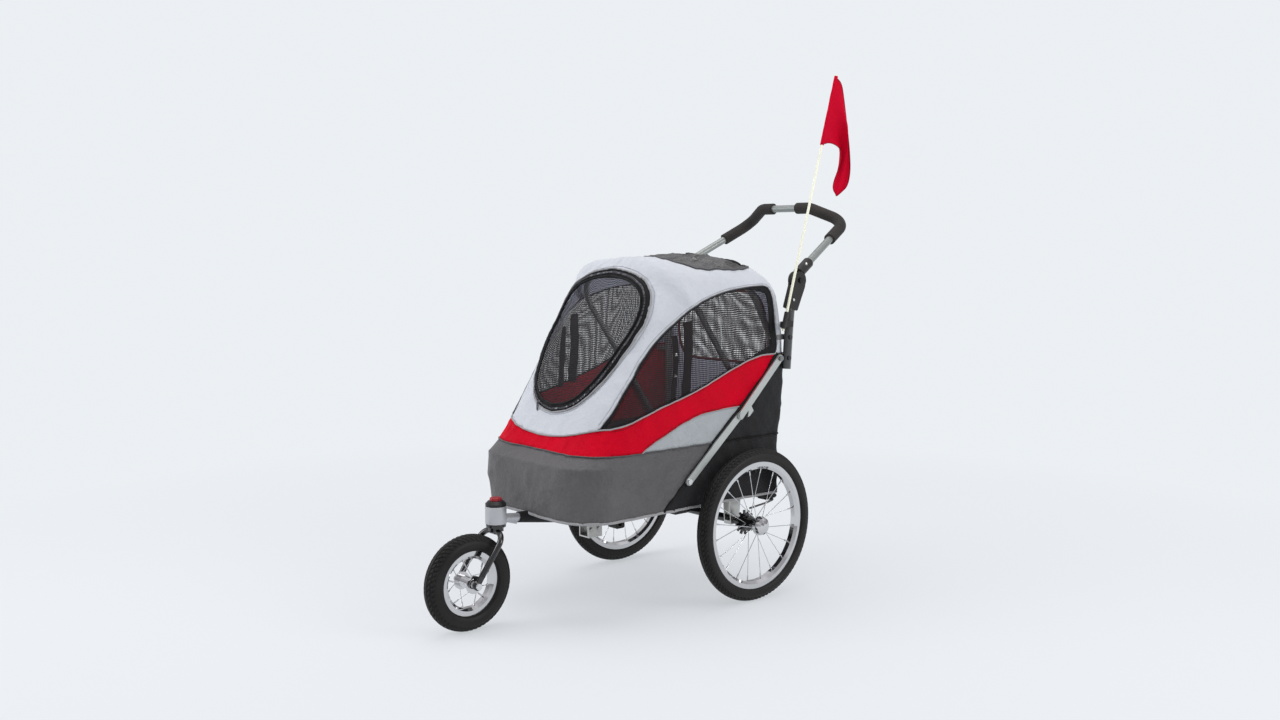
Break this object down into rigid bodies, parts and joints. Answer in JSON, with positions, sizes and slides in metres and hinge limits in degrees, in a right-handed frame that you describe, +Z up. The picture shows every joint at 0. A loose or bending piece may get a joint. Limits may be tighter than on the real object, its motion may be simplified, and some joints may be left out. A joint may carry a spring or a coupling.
{
  "type": "pet stroller",
  "caption": "Three-wheeled pet stroller with a folding cloth cabin, net windows, spoked wheels, swivel front fork, tilting push handle and a pennant on a pole.",
  "frame": {"origin": "on the ground, midway between the front of the front tyre and the back of the handle, on the centre plane", "axes": "+Z up, the front wheel and window towards -Y, the push handle towards +Y"},
  "size_m": [0.634, 1.3013, 1.402],
  "materials": {
    "base_frame": "black powder coat",
    "steering_head": "silver grey paint, satin",
    "spine_sleeve": "black, lightly grained",
    "head_cap": "black, glossy",
    "rear_axle": "black, glossy",
    "axle_brackets": "zinc plated plate",
    "hinge_plates": "zinc plated plate",
    "pivot_bolts": "plated",
    "tub": "dark grey woven polyester",
    "floor_board": "black board",
    "floor_mat": "dark grey quilted",
    "tow_bracket": "zinc plated plate",
    "tow_block": "black",
    "red_band": "red woven polyester",
    "side_panels": "light grey woven polyester",
    "rear_cover": "black woven polyester",
    "canopy": "silver grey coated woven polyester",
    "front_mesh": "black net",
    "side_windows": "black net and clear film",
    "roof_mesh": "black net and clear film",
    "rear_hoop": "grey painted tube",
    "uprights": "silver painted oval tube",
    "frame_bolts": "plated",
    "knuckle_bases": "black nylon",
    "handle_bar": "silver grey painted tube",
    "handle_grips": "black foam",
    "knuckle_tops": "black nylon",
    "lock_button_right": "black",
    "lock_button_left": "black",
    "flag_pole": "ivory glass fibre",
    "flag_clip": "black nylon",
    "flag": "red woven polyester",
    "stay_upper_right": "silver painted flat bar",
    "stay_upper_left": "silver painted flat bar",
    "stay_lower_right": "silver painted flat bar",
    "stay_lower_left": "silver painted flat bar",
    "front_hoop": "grey painted tube",
    "fork": "black, glossy",
    "fork_axle": "plated",
    "swivel_lock": "red",
    "front_tyre": "black, ribbed tread",
    "front_rim": "chrome plated",
    "front_hub": "chrome barrel, black flanges",
    "front_spokes": "plated wire",
    "brake_bar": "plated",
    "brake_pedal": "black",
    "rear_tyre_right": "black, block tread",
    "rear_rim_right": "chrome plated",
    "rear_hub_right": "chrome barrel, black toothed disc",
    "hub_cap_right": "chrome plated dome",
    "rear_spokes_right": "plated wire",
    "rear_tyre_left": "black, block tread",
    "rear_rim_left": "chrome plated",
    "rear_hub_left": "chrome barrel, black toothed disc",
    "hub_cap_left": "chrome plated dome",
    "rear_spokes_left": "plated wire"
  },
  "bodies": {
    "base": {"base_frame": "base_frame", "steering_head": "steering_head", "spine_sleeve": "spine_sleeve", "head_cap": "head_cap", "rear_axle": "rear_axle", "axle_brackets": "axle_brackets", "hinge_plates": "hinge_plates", "pivot_bolts": "pivot_bolts", "tub": "tub", "floor_board": "floor_board", "floor_mat": "floor_mat", "tow_bracket": "tow_bracket", "tow_block": "tow_block", "red_band": "red_band", "side_panels": "side_panels", "rear_cover": "rear_cover", "canopy": "canopy", "front_mesh": "front_mesh", "side_windows": "side_windows", "roof_mesh": "roof_mesh"},
    "rear_frame": {"rear_hoop": "rear_hoop", "uprights": "uprights", "frame_bolts": "frame_bolts", "knuckle_bases": "knuckle_bases", "flag_pole": "flag_pole", "flag_clip": "flag_clip", "flag": "flag"},
    "handle": {"handle_bar": "handle_bar", "handle_grips": "handle_grips", "knuckle_tops": "knuckle_tops"},
    "lock_button_right": {"lock_button_right": "lock_button_right"},
    "lock_button_left": {"lock_button_left": "lock_button_left"},
    "stay_upper_right": {"stay_upper_right": "stay_upper_right"},
    "stay_upper_left": {"stay_upper_left": "stay_upper_left"},
    "stay_lower_right": {"stay_lower_right": "stay_lower_right"},
    "stay_lower_left": {"stay_lower_left": "stay_lower_left"},
    "front_hoop": {"front_hoop": "front_hoop"},
    "fork": {"fork": "fork", "fork_axle": "fork_axle"},
    "swivel_lock": {"swivel_lock": "swivel_lock"},
    "front_wheel": {"front_tyre": "front_tyre", "front_rim": "front_rim", "front_hub": "front_hub", "front_spokes": "front_spokes"},
    "rear_wheel_right": {"rear_tyre_right": "rear_tyre_right", "rear_rim_right": "rear_rim_right", "rear_hub_right": "rear_hub_right", "hub_cap_right": "hub_cap_right", "rear_spokes_right": "rear_spokes_right"},
    "rear_wheel_left": {"rear_tyre_left": "rear_tyre_left", "rear_rim_left": "rear_rim_left", "rear_hub_left": "rear_hub_left", "hub_cap_left": "hub_cap_left", "rear_spokes_left": "rear_spokes_left"},
    "brake": {"brake_bar": "brake_bar", "brake_pedal": "brake_pedal"}
  },
  "joints": [
    {"name": "rear_frame_fold", "type": "hinge", "parent": "base", "child": "rear_frame", "pos_m": [0, 0.312, 0.44], "axis": [1, 0, 0], "range_deg": [0, 68], "deforming": ["red_band", "side_panels", "rear_cover", "canopy", "front_mesh", "side_windows", "roof_mesh"]},
    {"name": "front_hoop_fold", "type": "hinge", "parent": "base", "child": "front_hoop", "pos_m": [0, 0.266, 0.44], "axis": [1, 0, 0], "range_deg": [0, 48]},
    {"name": "handle_tilt", "type": "hinge", "parent": "rear_frame", "child": "handle", "pos_m": [0, 0.371, 0.845], "axis": [1, 0, 0], "range_deg": [-30, 100]},
    {"name": "lock_button_right_press", "type": "slide", "parent": "rear_frame", "child": "lock_button_right", "axis": [-1, 0, 0], "range_m": [0, 0.004], "stiffness_N_per_m": 300},
    {"name": "lock_button_left_press", "type": "slide", "parent": "rear_frame", "child": "lock_button_left", "axis": [1, 0, 0], "range_m": [0, 0.004], "stiffness_N_per_m": 300},
    {"name": "stay_upper_right_swing", "type": "hinge", "parent": "rear_frame", "child": "stay_upper_right", "pos_m": [0.2495, 0.306, 0.636], "axis": [-1, 0, 0], "range_deg": [0, 130]},
    {"name": "stay_upper_left_swing", "type": "hinge", "parent": "rear_frame", "child": "stay_upper_left", "pos_m": [-0.2495, 0.306, 0.636], "axis": [-1, 0, 0], "range_deg": [0, 130]},
    {"name": "stay_lower_right_swing", "type": "hinge", "parent": "base", "child": "stay_lower_right", "pos_m": [0.2445, -0.024, 0.34], "axis": [1, 0, 0], "range_deg": [0, 60.5]},
    {"name": "stay_lower_left_swing", "type": "hinge", "parent": "base", "child": "stay_lower_left", "pos_m": [-0.2445, -0.024, 0.34], "axis": [1, 0, 0], "range_deg": [0, 60.5]},
    {"name": "fork_swivel", "type": "hinge", "parent": "base", "child": "fork", "pos_m": [0, -0.45, 0.27], "axis": [0, 0, 1], "continuous": true},
    {"name": "front_wheel_spin", "type": "hinge", "parent": "fork", "child": "front_wheel", "pos_m": [0, -0.5345, 0.12], "axis": [1, 0, 0], "continuous": true},
    {"name": "rear_wheel_right_spin", "type": "hinge", "parent": "base", "child": "rear_wheel_right", "pos_m": [0.2774, 0.184, 0.203], "axis": [1, 0, 0], "continuous": true},
    {"name": "rear_wheel_left_spin", "type": "hinge", "parent": "base", "child": "rear_wheel_left", "pos_m": [-0.2774, 0.184, 0.203], "axis": [1, 0, 0], "continuous": true},
    {"name": "swivel_lock_turn", "type": "hinge", "parent": "base", "child": "swivel_lock", "pos_m": [0, -0.45, 0.315], "axis": [0, 0, 1], "range_deg": [0, 90]},
    {"name": "brake_press", "type": "hinge", "parent": "base", "child": "brake", "pos_m": [0, 0.3, 0.25], "axis": [1, 0, 0], "range_deg": [0, 6.6]}
  ],
  "couplings": [
    {"joint": "front_hoop_fold", "follows": "rear_frame_fold", "ratio": 0.7}
  ]
}
